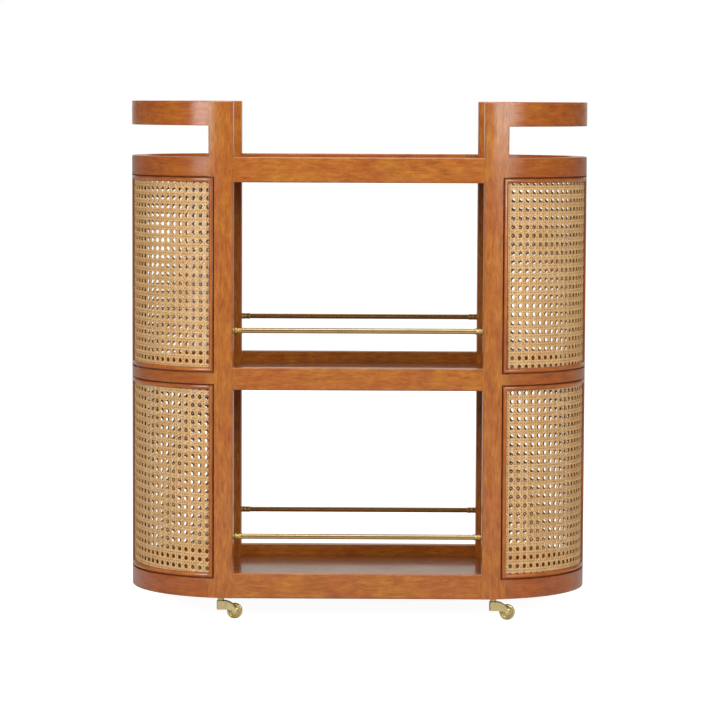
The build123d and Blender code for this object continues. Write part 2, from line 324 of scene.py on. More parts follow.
# The true roundness of the ends, as a modifier: where a face follows the cart's outline, its normals
# point away from the axis of the bend, so that a reflection runs on unbroken from one piece to the next
END_CENTRE = 0.216
ROUND_TOLERANCE = math.radians(3.6)
true_round = bpy.data.node_groups.new("True Round", "GeometryNodeTree")
true_round.interface.new_socket("Geometry", in_out="INPUT", socket_type="NodeSocketGeometry")
true_round.interface.new_socket("Geometry", in_out="OUTPUT", socket_type="NodeSocketGeometry")
comes = true_round.nodes.new("NodeGroupInput").outputs
goes = true_round.nodes.new("NodeGroupOutput").inputs
position = true_round.nodes.new("GeometryNodeInputPosition").outputs[0]
spot = put(true_round, "SeparateXYZ", {0: position}).outputs
normal = true_round.nodes.new("GeometryNodeInputNormal").outputs["Normal"]
beyond = reckon(true_round, "SUBTRACT", reckon(true_round, "ABSOLUTE", spot[0]), END_CENTRE)
beyond = reckon(true_round, "MAXIMUM", beyond, 0.0)
sideways = reckon(true_round, "MULTIPLY", beyond, reckon(true_round, "SIGN", spot[0]))
outward = put(true_round, "CombineXYZ", {0: sideways, 1: spot[1]})
outward = put(true_round, "VectorMath", {0: outward.outputs[0]}, operation="NORMALIZE").outputs[0]
compared = put(true_round, "VectorMath", {0: normal, 1: outward}, operation="DOT_PRODUCT")
agreement = compared.outputs["Value"]
which_way = reckon(true_round, "SIGN", agreement)
turned = put(true_round, "VectorMath", {0: outward, 3: which_way}, operation="SCALE").outputs[0]
closeness = reckon(true_round, "ABSOLUTE", agreement)
on_outline = reckon(true_round, "GREATER_THAN", closeness, math.cos(ROUND_TOLERANCE))
chosen = true_round.nodes.new("GeometryNodeSwitch")
chosen.input_type = "VECTOR"
true_round.links.new(on_outline, chosen.inputs["Switch"])
true_round.links.new(normal, chosen.inputs["False"])
true_round.links.new(turned, chosen.inputs["True"])
kept = true_round.nodes.new("GeometryNodeSetMeshNormal")
kept.mode, kept.domain = "FREE", "CORNER"
true_round.links.new(comes["Geometry"], kept.inputs["Mesh"])
true_round.links.new(chosen.outputs[0], kept.inputs["Custom Normal"])
true_round.links.new(kept.outputs[0], goes[0])


def eased(piece, width, segments=2, free=EVERYWHERE, rounded=False):
    """Round a piece's free edges a little, as planing and sanding leave them, and shade it smoothly."""
    weld = piece.modifiers.new("one skin", "WELD")
    weld.merge_threshold = 0.00001
    flat = piece.modifiers.new("whole faces", "DECIMATE")
    flat.decimate_type = "DISSOLVE"
    flat.angle_limit = math.radians(0.4)
    choice = piece.modifiers.new("free edges", "NODES")
    choice.node_group = free_edges
    for socket in free_edges.interface.items_tree:
        if socket.in_out == "INPUT" and socket.name in ("From", "To"):
            choice[socket.identifier] = free[socket.name == "To"]
    ease = piece.modifiers.new("eased edges", "BEVEL")
    ease.width = width
    ease.segments = segments
    ease.limit_method = "WEIGHT"
    ease.miter_outer = "MITER_ARC"
    shading = piece.modifiers.new("smooth shading", "NODES")
    shading.node_group = smooth_shading
    piece.modifiers.new("face normals", "WEIGHTED_NORMAL").keep_sharp = True
    if rounded:
        piece.modifiers.new("true round", "NODES").node_group = true_round


def finish_nodes(names, material, width, segments=2, free=EVERYWHERE, rounded=False):
    """Give CAD nodes their material and eased edges."""
    for name in names:
        nodes[name].data.materials[0] = material
        eased(nodes[name], width, segments, free, rounded)


post_wood, tree, shader, place = blank_material("post wood")
lacquered(tree, shader, place, place)
corners = [front + "_" + side for front in ("front", "rear") for side in ("left", "right")]
finish_nodes(["post_" + corner for corner in corners], post_wood, POST_ARRIS, rounded=True)


# Straight rails: six lengths of the same hardwood, front and rear, tenoned into the posts.
# The grain runs along them, and their long edges are planed off by hand before the lacquer.

rail_wood, tree, shader, place = blank_material("rail wood")
lengthways = put(
    tree,
    "Mapping",
    {"Vector": place, "Location": (0.31, 0.17, 0.0), "Rotation": (0, math.radians(90), 0)},
)
between_posts = (-1.0, POST_INSIDE - 0.001)
lacquered(
    tree, shader, place, lengthways.outputs[0], free=between_posts, joint=(POST_INSIDE, -0.010)
)
RAIL_ARRIS = 0.0007
levels = ("base", "mid", "top")
rails = [level + "_rail_" + side for level in levels for side in ("front", "rear")]
finish_nodes(rails, rail_wood, RAIL_ARRIS, free=between_posts)


# Half-round bands and handles: strips of hardwood bent in layers round a former and glued, so that the
# grain follows the curve. The bands are rebated for the cane, and all of them are tenoned to the posts.

BEND_RADIUS = 0.1905
BENT_ARRIS = 0.0012

# Coordinates that run along a half-round piece: out from the bend's axis, up, and along the bend
along_bend, given, gives = shader_group(
    "Along the Bend", [("Place", "Vector")], [("Along Grain", "Vector")]
)
apart = put(along_bend, "SeparateXYZ", {0: given["Place"]}).outputs
out_from_axis = reckon(along_bend, "SUBTRACT", reckon(along_bend, "ABSOLUTE", apart[0]), END_CENTRE)
turn = reckon(along_bend, "ARCTAN2", apart[1], out_from_axis)
squares = reckon(along_bend, "MULTIPLY", apart[1], apart[1])
squares = reckon(along_bend, "MULTIPLY_ADD", out_from_axis, out_from_axis, squares)
reach = reckon(along_bend, "SQRT", squares)
side = reckon(along_bend, "MULTIPLY", reckon(along_bend, "SIGN", apart[0]), 0.9)
unrolled = put(
    along_bend,
    "CombineXYZ",
    {0: reach, 1: apart[2], 2: reckon(along_bend, "MULTIPLY_ADD", turn, BEND_RADIUS, side)},
)
along_bend.links.new(unrolled.outputs[0], gives["Along Grain"])

beyond_posts = (POST_OUTSIDE + 0.0005, 9.0)
for name, depth, dye, bent in (
    ("band wood", 0.18, (1.0, 0.82, 0.64, 1), [level + "_bands" for level in levels]),
    ("handle wood", 0.06, (1.0, 0.87, 0.70, 1), ["handles"]),
):
    bent_wood, tree, shader, place = blank_material(name)
    bend = grouped(tree, along_bend, {"Place": place})
    lacquered(
        tree,
        shader,
        place,
        bend["Along Grain"],
        depth=depth,
        free=beyond_posts,
        joint=(POST_OUTSIDE, 0.014),
        dye=dye,
    )
    finish_nodes(bent, bent_wood, BENT_ARRIS, 3, free=beyond_posts, rounded=True)


# Stiles: one upright between the bands at the middle of each end, above and below the middle band.
# Each is a short hardwood board, rounded outside to the ends' curve and rebated on both edges for
# the cane, with stub tenons into the bands.

finish_nodes(["end_stiles_lower", "end_stiles_upper"], post_wood, POST_ARRIS, rounded=True)


# Shelves and tray: three boards set a little below the rails, notched round the posts.
# Their faces are sanded flat and lacquered in more coats than the frame, so that they mirror what is
# behind them.

SHELF_ARRIS = 0.0004

shelf_wood, tree, shader, place = blank_material("shelf wood")
lengthways = put(
    tree,
    "Mapping",
    {"Vector": place, "Location": (0.11, 0.57, 0.3), "Rotation": (0, math.radians(90), 0)},
)
lacquered(
    tree,
    shader,
    place,
    lengthways.outputs[0],
    depth=0.31,
    pores=0.35,
    coat=1.0,
    coat_roughness=0.13,
    relief=0.00005,
)
finish_nodes([level + "_shelf" for level in levels], shelf_wood, SHELF_ARRIS)


# Cane panels: eight quarter-round sheets of machine-woven cane, held under the beads.
# The split cane is laid in upright and level pairs, woven over and under each other, with two sets of
# slanting strands that cross on the pairs and leave the eight-sided holes.

STRAND_WIDTH = 0.0030
STRAND_CROWN = 0.00055
PAIR_SPREAD = 0.0021
OVER_PAIR = 0.00030
OVER_WEAVE = 0.00055
SLANT_REST = 0.0036
PAIR_JITTER = 0.00012
LEVEL_SLOPE = 0.1
SHORTEST_STRAND = 0.012
END_CLEARANCE = 0.0003
CANE_RADIUS = 0.19805
OPENING_START, OPENING_END, UNDER_BEADS = 15.0, 82.93, 2.54
OPENING_HEIGHT = 0.332
PANEL_START = math.radians(OPENING_START - UNDER_BEADS)
PANEL_END = math.radians(OPENING_END + UNDER_BEADS)
PANEL_MARGIN = 0.009
PANEL_HEIGHT = OPENING_HEIGHT + 2 * PANEL_MARGIN
PANEL_WIDTH = CANE_RADIUS * (PANEL_END - PANEL_START)
CANE_PALE, CANE_RIPE = (0.850, 0.550, 0.265, 1), (0.620, 0.305, 0.098, 1)
FIBRE_BROWN = (0.330, 0.165, 0.060, 1)
# Painted shade for the sides of the strands
STRAND_SIDE_SHADE = (0.340, 0.145, 0.042, 1)
opening_bottoms = {"lower": 0.085, "upper": 0.457}
first_seeds = {"lower": 11, "upper": 18}

cane_skin, tree, shader, place = blank_material("cane")
strand = put(tree, "UVMap", uv_map="strand").outputs[0]
tone = put(tree, "Attribute", attribute_name="tone").outputs["Fac"]
drawn = put(tree, "VectorMath", {0: strand, 1: (130.0, 7.0, 1.0)}, operation="MULTIPLY").outputs[0]
fibres = put(
    tree, "TexNoise", {"Vector": drawn, "Scale": 1.0, "Detail": 3.0, "Roughness": 0.6}
).outputs[0]
drawn = put(tree, "VectorMath", {0: strand, 1: (38.0, 0.7, 1.0)}, operation="MULTIPLY").outputs[0]
blotches = put(tree, "TexNoise", {"Vector": drawn, "Scale": 1.0, "Detail": 2.0}).outputs[0]
ripeness = reckon(
    tree,
    "MULTIPLY_ADD",
    tone,
    0.62,
    reckon(tree, "MULTIPLY_ADD", blotches, 0.9, -0.26),
    clamp=True,
)
skin = blended(tree, ripeness, CANE_PALE, CANE_RIPE)
skin = blended(tree, rescaled(tree, fibres, 0.50, 0.80, 0.0, 0.55), skin, FIBRE_BROWN)
# Painted shade: each strand is made darker towards its sides, where its round turns away from the light
across = put(tree, "SeparateXYZ", {0: strand}).outputs[1]
from_middle = reckon(tree, "ABSOLUTE", reckon(tree, "SUBTRACT", across, 0.5))
skin = blended(tree, rescaled(tree, from_middle, 0.28, 0.50, 0.0, 0.70), skin, STRAND_SIDE_SHADE)
tree.links.new(skin, shader["Base Color"])
tree.links.new(rescaled(tree, fibres, 0.3, 0.8, 0.36, 0.62), shader["Roughness"])
grooved = put(tree, "Bump", {"Strength": 0.5, "Distance": 0.00006, "Height": fibres})
tree.links.new(grooved.outputs[0], shader["Normal"])
shader["Specular IOR Level"].default_value = 0.4


def strand_stations(start, end, pattern):
    """Places along a strand at which its level is set, ends included. pattern gives (place, level)."""
    low, high = start + END_CLEARANCE, end - END_CLEARANCE
    inside = [(place, level) for place, level in pattern if low < place < high]
    return [(start, inside[0][1])] + inside + [(end, inside[-1][1])]


def weave_cane(name, panel_bottom, turn, seed, sheet):
    """Weave one quarter panel as ribbons, bent to the end's curve and turned into its place.

    The sheet is woven with square holes, and drawn out of square a little as it is laid: sheet gives
    the pitch of its columns and its rows of holes, the first hole across and up, and the rise of a row.
    """
    pitch, row_pitch, first_across, first_up, rise = sheet
    choose = random.Random(seed)
    drawn = row_pitch / pitch
    half = pitch / 2
    columns = range(-2, int(PANEL_WIDTH / pitch) + 3)
    rows = range(-2, int(PANEL_HEIGHT / row_pitch) + 3)
    column_start = first_across - half
    row_start = first_up / drawn - half
    points, faces, marks, tones = [], [], [], []

    def laid(x, z):
        """A point of the square weave, on the sheet as it is drawn."""
        return x, z * drawn + rise * (x - PANEL_WIDTH / 2)

    def lay_strand(origin, heading, pattern):
        """Lay one strand along a heading, as a low half-round ribbon that ends at the sheet's edges."""
        start, end = -1.0, 1.0
        at_zero = laid(*origin)
        at_one = laid(origin[0] + heading[0], origin[1] + heading[1])
        for here, there, size in zip(at_zero, at_one, (PANEL_WIDTH, PANEL_HEIGHT)):
            rate = there - here
            if abs(rate) < LEVEL_SLOPE:
                # The strand keeps level with these two edges, so it lies between them or not at all
                lowest, highest = sorted((here, here + rate * PANEL_WIDTH))
                if lowest <= STRAND_WIDTH or highest >= size - STRAND_WIDTH:
                    return
                continue
            low, high = sorted((-here / rate, (size - here) / rate))
            start, end = max(start, low), min(end, high)
        if end - start < SHORTEST_STRAND:
            return
        side_x, side_z = -heading[1] * STRAND_WIDTH / 2, heading[0] * STRAND_WIDTH / 2
        first = len(points)
        shift, tone = choose.uniform(0.0, 40.0), choose.random()
        stations = strand_stations(start, end, pattern)
        for place, level in stations:
            x, z = origin[0] + heading[0] * place, origin[1] + heading[1] * place
            points.append((*laid(x - side_x, z - side_z), level))
            points.append((*laid(x, z), level + STRAND_CROWN))
            points.append((*laid(x + side_x, z + side_z), level))
        for step in range(len(stations) - 1):
            near, far = first + 3 * step, first + 3 * step + 3
            here, there = stations[step][0] + shift, stations[step + 1][0] + shift
            for a, b, v in ((0, 1, 0.0), (1, 2, 0.5), (2, 0, 1.0)):
                faces.append((near + a, far + a, far + b, near + b))
                w = v + 0.5 if v < 1.0 else 2.0
                marks.extend(((here, v), (there, v), (there, w), (here, w)))
                tones.append(tone)

    # The upright and level pairs, plain-woven two by two where they cross
    for upright, pairs, crossings, lift in ((True, columns, rows, 1), (False, rows, columns, -1)):
        pair_start, crossing_start = (column_start, row_start) if upright else (row_start, column_start)
        for pair in pairs:
            for which in (-1, 1):
                jitter = choose.uniform(-PAIR_JITTER, PAIR_JITTER)
                offset = pair_start + pair * pitch + which * PAIR_SPREAD + jitter
                pattern = []
                for crossing in crossings:
                    middle = crossing_start + crossing * pitch
                    pattern.append((middle - PAIR_SPREAD, -which * lift * OVER_PAIR))
                    pattern.append((middle + PAIR_SPREAD, which * lift * OVER_PAIR))
                    pattern.append((middle + half, 0.0))
                if upright:
                    lay_strand((offset, 0.0), (0.0, 1.0), pattern)
                else:
                    lay_strand((0.0, offset), (1.0, 0.0), pattern)

    # The slanting strands, over one set of pairs and under the other
    slant = 1 / math.sqrt(2)
    for lean, lift in ((1, 1), (-1, -1)):
        for number in range(-len(rows) - 1, len(columns) + len(rows) + 1):
            bottom_x = column_start + (number + 0.5) * pitch - lean * row_start
            pattern = []
            for step in range(-4, 2 * len(rows) + 2):
                middle = row_start + step * half
                over = lift if step % 2 == 0 else -lift
                pattern.append(((middle - SLANT_REST * slant) / slant, over * OVER_WEAVE))
                pattern.append(((middle + SLANT_REST * slant) / slant, over * OVER_WEAVE))
            lay_strand((bottom_x, 0.0), (lean * slant, slant), pattern)

    bent = []
    for x, z, level in points:
        x = min(max(x, 0.0), PANEL_WIDTH)
        z = min(max(z, 0.0), PANEL_HEIGHT)
        angle = PANEL_START + x / CANE_RADIUS
        radius = CANE_RADIUS + level
        across = END_CENTRE + radius * math.sin(angle)
        bent.append((across, -radius * math.cos(angle), panel_bottom + z))
    mesh = bpy.data.meshes.new(name)
    mesh.from_pydata(bent, [], faces)
    flat_marks = [value for mark in marks for value in mark]
    mesh.uv_layers.new(name="strand").data.foreach_set("uv", flat_marks)
    mesh.attributes.new("tone", "FLOAT", "FACE").data.foreach_set("value", tones)
    mesh.shade_smooth()
    mesh.set_sharp_from_angle(angle=math.radians(48))
    panel = bpy.data.objects.new(name, mesh)
    bpy.context.scene.collection.objects.link(panel)
    mesh.transform(turn)
    mesh.materials.append(cane_skin)
    return panel


end_axis = Matrix.Translation((END_CENTRE, 0, 0))
to_rear = end_axis @ Matrix.Rotation(math.pi - (PANEL_START + PANEL_END), 4, "Z") @ end_axis.inverted()
half_turn = Matrix.Rotation(math.pi, 4, "Z")
panel_turns = {
    "front_right": Matrix.Identity(4),
    "rear_right": to_rear,
    "rear_left": half_turn,
    "front_left": half_turn @ to_rear,
}
# How each sheet lies: the pitch of its columns and of its rows, its first hole across and up, and the
# rise of its rows. These values are not chosen by hand: separate scripts fitted them to the photograph,
# by searching for the lay that agrees best with its light and dark, and they are rounded here.
sheets = {
    ("lower", "front_right"): (0.0139, 0.0157, 0.0044, 0.0058, -0.010),
    ("lower", "rear_right"): (0.0148, 0.0160, 0.0072, 0.0019, -0.034),
    ("lower", "rear_left"): (0.0148, 0.0156, 0.0075, 0.0042, -0.007),
    ("lower", "front_left"): (0.0140, 0.0155, 0.0017, 0.0046, -0.031),
    ("upper", "front_right"): (0.0139, 0.0157, 0.0047, 0.0106, -0.011),
    ("upper", "rear_right"): (0.0148, 0.0157, 0.0075, 0.0055, -0.017),
    ("upper", "rear_left"): (0.0160, 0.0153, 0.0075, 0.0086, 0.029),
    ("upper", "front_left"): (0.0141, 0.0154, 0.0018, 0.0040, -0.002),
}
for level, opening_bottom in opening_bottoms.items():
    for number, (corner, turned_to) in enumerate(panel_turns.items()):
        panel = weave_cane(
            "cane_panel_" + level + "_" + corner,
            opening_bottom - PANEL_MARGIN,
            turned_to,
            first_seeds[level] + number,
            sheets[level, corner],
        )
        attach(panel, "cart")
        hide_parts("cane_" + level)


# Beads: slim half-round frames of the same hardwood, pinned over the edges of the cane in the rebates.
# Their curved strips are bent and the upright ones straight, mitred at the corners, and they are made
# darker with painted shade along their outer sides and at their foot, in the hollow round them.

BEAD_FOOT = 0.199
BEAD_OUTSIDE = 0.203
BEAD_CROWN = 0.0040
# How strong the painted shade is at a bead's outer side, and how far in it reaches
OUTER_SHADE = 0.85
OUTER_SHADE_REACH = 0.0052
BEAD_STEPS = 26
bead_profile = [
    (0.0000, 0.0000),
    (0.0004, 0.0008),
    (0.0007, 0.0020),
    (0.0013, 0.0030),
    (0.0024, 0.0037),
    (0.0040, BEAD_CROWN),
    (0.0056, 0.0038),
    (0.0070, 0.0032),
    (0.0081, 0.0023),
    (0.0088, 0.0013),
    (0.0090, 0.0006),
    (0.0090, 0.0000),
]
bead_wood, tree, shader, place = blank_material("bead wood")
bend = grouped(tree, along_bend, {"Place": place})
upright = put(tree, "Attribute", attribute_name="upright").outputs["Fac"]
along = put(tree, "Mix", {0: upright, 4: bend["Along Grain"], 5: place}, data_type="VECTOR").outputs[1]
# The bead's painted shade, laid on as deeper stain
shade_share = put(tree, "Attribute", attribute_name="painted_shade").outputs["Fac"]
lacquered(
    tree,
    shader,
    place,
    along,
    depth=rescaled(tree, shade_share, 0.08, 0.75, 0.0, 0.95),
    pores=0.4,
    coat=1.0,
    coat_roughness=0.09,
    margin_shade=0.1,
    dye=(1.08, 0.92, 0.70, 1),
)


def bead_frame(name, panel_bottom, turn):
    """Sweep the bead's profile round one panel, mitred at its four corners."""
    points, faces, strips, shade_values = [], [], [], []
    for inset, rise in bead_profile:
        radius = BEAD_FOOT + rise
        start = PANEL_START + inset / BEAD_OUTSIDE
        end = PANEL_END - inset / BEAD_OUTSIDE
        low, high = panel_bottom + inset, panel_bottom + PANEL_HEIGHT - inset
        sweep = [start + (end - start) * step / BEAD_STEPS for step in range(BEAD_STEPS + 1)]
        for angle, level in [(a, low) for a in sweep] + [(a, high) for a in reversed(sweep)]:
            points.append((END_CENTRE + radius * math.sin(angle), -radius * math.cos(angle), level))
            # Painted shade: darkest at the bead's foot, where it meets the band and the cane, and along
            # its outer side
            shade_values.append(max(1.0 - rise / BEAD_CROWN, OUTER_SHADE - inset / OUTER_SHADE_REACH))
    around = 2 * (BEAD_STEPS + 1)
    for ring in range(len(bead_profile)):
        here = ring * around
        there = (ring + 1) % len(bead_profile) * around
        for step in range(around):
            after = (step + 1) % around
            faces.append((here + step, here + after, there + after, there + step))
            strips.append(1.0 if step in (BEAD_STEPS, around - 1) else 0.0)
    mesh = bpy.data.meshes.new(name)
    mesh.from_pydata(points, [], faces)
    mesh.transform(turn)
    mesh.attributes.new("upright", "FLOAT", "FACE").data.foreach_set("value", strips)
    mesh.attributes.new("painted_shade", "FLOAT", "POINT").data.foreach_set("value", shade_values)
    mesh.shade_smooth()
    mesh.set_sharp_from_angle(angle=math.radians(40))
    mesh.materials.append(bead_wood)
    frame_round = bpy.data.objects.new(name, mesh)
    bpy.context.scene.collection.objects.link(frame_round)
    return frame_round


for level, opening_bottom in opening_bottoms.items():
    for corner, turned_to in panel_turns.items():
        bead = bead_frame("bead_" + level + "_" + corner, opening_bottom - PANEL_MARGIN, turned_to)
        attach(bead, "cart")
        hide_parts("beads_" + level)


# Gallery rods: four thin drawn-brass rods above the two shelves, brushed lengthways and lacquered,
# so that they keep a warm satin shine with faint marks from handling.

ROD_ARRIS = 0.0003
SPOT_BROWN = (0.330, 0.205, 0.075, 1)
# Painted shade with patina, for the hollows of the brass and where its parts meet
HOLLOW_SHADE_AND_PATINA = (0.150, 0.095, 0.022, 1)
# Painted shade for the outermost of the wheels, where they turn away from the light
TREAD_SHADE = (0.100, 0.068, 0.018, 1)
ACROSS_RODS = (0, math.radians(90), 0)
ROUND_LATHE = (math.radians(90), 0, 0)
AS_CAST = (0, 0, 0)
brushed_brass, given, gives = shader_group(
    "Brushed Brass",
    [("Along Brushing", "Vector"), ("Metal", "Color"), ("Polish", "Float"), ("Hollow Shade and Patina", "Float")],
    [("Colour", "Color"), ("Roughness", "Float"), ("Height", "Float")],
)
scratches = stretched_noise(brushed_brass, given["Along Brushing"], 2600.0, 60.0, 2.0)
smears = stretched_noise(brushed_brass, given["Along Brushing"], 90.0, 40.0, 3.0)
spots = stretched_noise(brushed_brass, given["Along Brushing"], 420.0, 420.0, 2.0)
spots = rescaled(brushed_brass, spots, 0.62, 0.74)
dimmer = put(
    brushed_brass, "VectorMath", {0: given["Metal"], 1: (0.84, 0.80, 0.72)}, operation="MULTIPLY"
).outputs[0]
metal = blended(brushed_brass, rescaled(brushed_brass, smears, 0.35, 0.68), given["Metal"], dimmer)
metal = blended(brushed_brass, reckon(brushed_brass, "MULTIPLY", spots, 0.3), metal, SPOT_BROWN)
# Painted shade with patina: the brass is made darker where the room is hidden from it, in hollows and
# where parts meet
openness = put(brushed_brass, "AmbientOcclusion", {"Distance": 0.005}, samples=8).outputs["AO"]
hollow_shade = rescaled(brushed_brass, openness, 0.45, 0.95, 1.0, 0.0)
hollow_shade = reckon(brushed_brass, "MULTIPLY", hollow_shade, given["Hollow Shade and Patina"])
metal = blended(brushed_brass, hollow_shade, metal, HOLLOW_SHADE_AND_PATINA)
brushed_brass.links.new(metal, gives["Colour"])
dullness = reckon(
    brushed_brass,
    "MULTIPLY_ADD",
    scratches,
    0.22,
    reckon(brushed_brass, "MULTIPLY_ADD", smears, 0.12, reckon(brushed_brass, "MULTIPLY", spots, 0.1)),
)
dullness = reckon(brushed_brass, "ADD", dullness, 0.22)
brushed_brass.links.new(reckon(brushed_brass, "SUBTRACT", dullness, given["Polish"]), gives["Roughness"])
brushed_brass.links.new(scratches, gives["Height"])


# The brass's darkening in its hollows and joins is painted shade with patina, weighed by the argument
# after the polish
def brass_finish(name, turned, metal, polish, hollow_shade_and_patina=0.4, metallic=1.0, tread_shade=0.0):
    """A brass material, brushed along its object's X, Y or Z by how it is turned.

    tread says how far the outermost of a turned piece is made darker with painted shade, where it turns
    away from the light.
    """
    material, tree, shader, place = blank_material(name)
    along = put(tree, "Mapping", {"Vector": place, "Rotation": turned})
    metal = grouped(
        tree,
        brushed_brass,
        {"Along Brushing": along.outputs[0], "Metal": metal, "Polish": polish, "Hollow Shade and Patina": hollow_shade_and_patina},
    )
    out = put(tree, "Attribute", attribute_name="out").outputs["Fac"]
    # Painted shade on the outermost of the piece
    tread_shaded = rescaled(tree, out, 0.935, 0.985, 0.0, tread_shade)
    tree.links.new(blended(tree, tread_shaded, metal["Colour"], TREAD_SHADE), shader["Base Color"])
    tree.links.new(metal["Roughness"], shader["Roughness"])
    shader["Metallic"].default_value = metallic
    fine = put(tree, "Bump", {"Strength": 0.35, "Distance": 0.00002, "Height": metal["Height"]})
    tree.links.new(fine.outputs[0], shader["Normal"])
    return material


rod_brass = brass_finish("rod brass", ACROSS_RODS, (0.670, 0.465, 0.210, 1), 0.11)
rods = ["gallery_rod_" + level + "_" + side for level in ("base", "mid") for side in ("front", "rear")]
for name in rods:
    nodes[name].data.materials[0] = rod_brass
    eased(nodes[name], ROD_ARRIS)


# Ferrules: eight short brass sockets screwed to the posts, in which the rods end.
# Each is turned from bar, with a rounded mouth and two narrow grooves cut round it.

ROD_HEIGHTS = (0.1515, 0.5235)
ROD_LINES = [(y, z) for z in ROD_HEIGHTS for y in (-BEND_RADIUS, BEND_RADIUS)]
FERRULE_MOUTH = 0.209
ferrule_profile = [
    (0.0000, 0.0047),
    (0.0000, 0.0051),
    (0.0003, 0.0054),
    (0.0008, 0.0055),
    (0.0062, 0.0055),
    (0.0066, 0.0053),
    (0.0068, 0.0049),
    (0.0074, 0.0049),
    (0.0076, 0.0053),
    (0.0080, 0.0055),
    (0.0122, 0.0055),
    (0.0126, 0.0053),
    (0.0128, 0.0050),
    (0.0132, 0.0050),
    (0.0134, 0.0053),
    (0.0138, 0.0055),
    (0.0155, 0.0055),
    (0.0155, 0.0000),
]


def turned_piece(name, profile, sides, to_place, material, closed=False):
    """Turn a profile of (along, radius) pairs about the X axis, as on a lathe, and move it into place.

    The attribute "out" says how far out each point is, as a share of the piece's largest radius.
    """
    mesh = bmesh.new()
    rings, shares = [], []
    for along, radius in profile:
        if radius < 1e-6:
            rings.append([mesh.verts.new((along, 0, 0))])
            shares.append(0.0)
            continue
        shares.extend([radius] * sides)
        ring = []
        for step in range(sides):
            angle = 2 * math.pi * step / sides
            ring.append(mesh.verts.new((along, radius * math.cos(angle), radius * math.sin(angle))))
        rings.append(ring)
    joins = list(zip(rings, rings[1:] + rings[:1] if closed else rings[1:]))
    for near, far in joins:
        for step in range(sides):
            after = (step + 1) % sides
            if len(near) == 1:
                mesh.faces.new((near[0], far[after], far[step]))
            elif len(far) == 1:
                mesh.faces.new((near[step], near[after], far[0]))
            else:
                mesh.faces.new((near[step], near[after], far[after], far[step]))
    mesh.transform(to_place)
    bmesh.ops.recalc_face_normals(mesh, faces=mesh.faces)
    data = bpy.data.meshes.new(name)
    mesh.to_mesh(data)
    mesh.free()
    widest = max(radius for along, radius in profile)
    out = data.attributes.new("out", "FLOAT", "POINT")
    out.data.foreach_set("value", [share / widest for share in shares])
    data.shade_smooth()
    data.set_sharp_from_angle(angle=math.radians(35))
    data.materials.append(material)
    piece = bpy.data.objects.new(name, data)
    bpy.context.scene.collection.objects.link(piece)
    return piece


ferrule_brass = brass_finish("ferrule brass", ROUND_LATHE, (0.640, 0.465, 0.180, 1), -0.02)
for number, (y, z) in enumerate(ROD_LINES):
    for side_name, turn in (("right", 0.0), ("left", math.pi)):
        to_place = (
            Matrix.Translation((0, y, z))
            @ Matrix.Rotation(turn, 4, "Z")
            @ Matrix.Translation((FERRULE_MOUTH, 0, 0))
        )
        name = "ferrule_%d_%s" % (number + 1, side_name)
        ferrule = turned_piece(name, ferrule_profile, 40, to_place, ferrule_brass)
        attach(ferrule, "cart")
        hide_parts("gallery_ferrules")


# Casters: cast-brass horns, each with a stem that turns in the foot of its post and an arched fork.
# The horn is tumbled to a pale satin, and its axle is riveted over outside both cheeks.

AXLE_OFFSET, AXLE_HEIGHT = 0.025, 0.014
CHEEK_OUTSIDE = 0.0075
HORN_ARRIS = 0.0004
STEM_ASIDE, STEM_FORWARD = 0.2465, 0.178
caster_brass = brass_finish(
    "caster brass", AS_CAST, (0.960, 0.780, 0.390, 1), 0.14, hollow_shade_and_patina=0.9, metallic=0.85
)
finish_nodes(["caster_horn_" + corner for corner in corners], caster_brass, HORN_ARRIS)
rivet_brass = brass_finish(
    "rivet brass", AS_CAST, (0.960, 0.800, 0.440, 1), 0.12, hollow_shade_and_patina=0.5, metallic=0.85
)
rivet_profile = [
    (-0.0006, 0.0019),
    (0.0000, 0.0023),
    (0.0002, 0.00225),
    (0.0004, 0.0020),
    (0.00055, 0.0013),
    (0.0006, 0.0),
]
stem_axes = {
    "front_left": (-STEM_ASIDE, -STEM_FORWARD),
    "front_right": (STEM_ASIDE, -STEM_FORWARD),
    "rear_left": (-STEM_ASIDE, STEM_FORWARD),
    "rear_right": (STEM_ASIDE, STEM_FORWARD),
}
for corner, (x, y) in stem_axes.items():
    for cheek, turn in (("near", -math.pi / 2), ("far", math.pi / 2)):
        to_place = (
            Matrix.Translation((x + AXLE_OFFSET, y, AXLE_HEIGHT))
            @ Matrix.Rotation(turn, 4, "Z")
            @ Matrix.Translation((CHEEK_OUTSIDE, 0, 0))
        )
        rivet = turned_piece("rivet_" + corner + "_" + cheek, rivet_profile, 28, to_place, rivet_brass)
        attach(rivet, "caster_" + corner)


# Caster wheels: solid brass wheels turned on a lathe, dished on both sides between the hub and the rim,
# with a lightly crowned tread. Each runs on the axle in its horn.

wheel_side = [
    (0.0045, 0.0021),
    (0.0045, 0.0048),
    (0.0042, 0.0054),
    (0.0026, 0.0058),
    (0.0022, 0.0064),
    (0.0022, 0.0096),
    (0.0027, 0.0104),
    (0.0041, 0.0110),
    (0.0043, 0.0118),
    (0.0042, 0.0128),
    (0.0037, 0.0135),
    (0.0028, 0.0139),
]
wheel_profile = [(-along, radius) for along, radius in wheel_side] + [(0.0, 0.014)] + wheel_side[::-1]
wheel_brass = brass_finish(
    "wheel brass", ROUND_LATHE, (0.990, 0.780, 0.330, 1), 0.15, hollow_shade_and_patina=0.9, metallic=0.80, tread_shade=0.95
)
for corner, (x, y) in stem_axes.items():
    on_axle = Matrix.Translation((x + AXLE_OFFSET, y, AXLE_HEIGHT))
    to_place = on_axle @ Matrix.Rotation(math.pi / 2, 4, "Z")
    name = "wheel_" + corner + "_turned"
    wheel = turned_piece(name, wheel_profile, 72, to_place, wheel_brass, closed=True)
    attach(wheel, "wheel_" + corner)
    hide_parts("caster_wheel_" + corner)


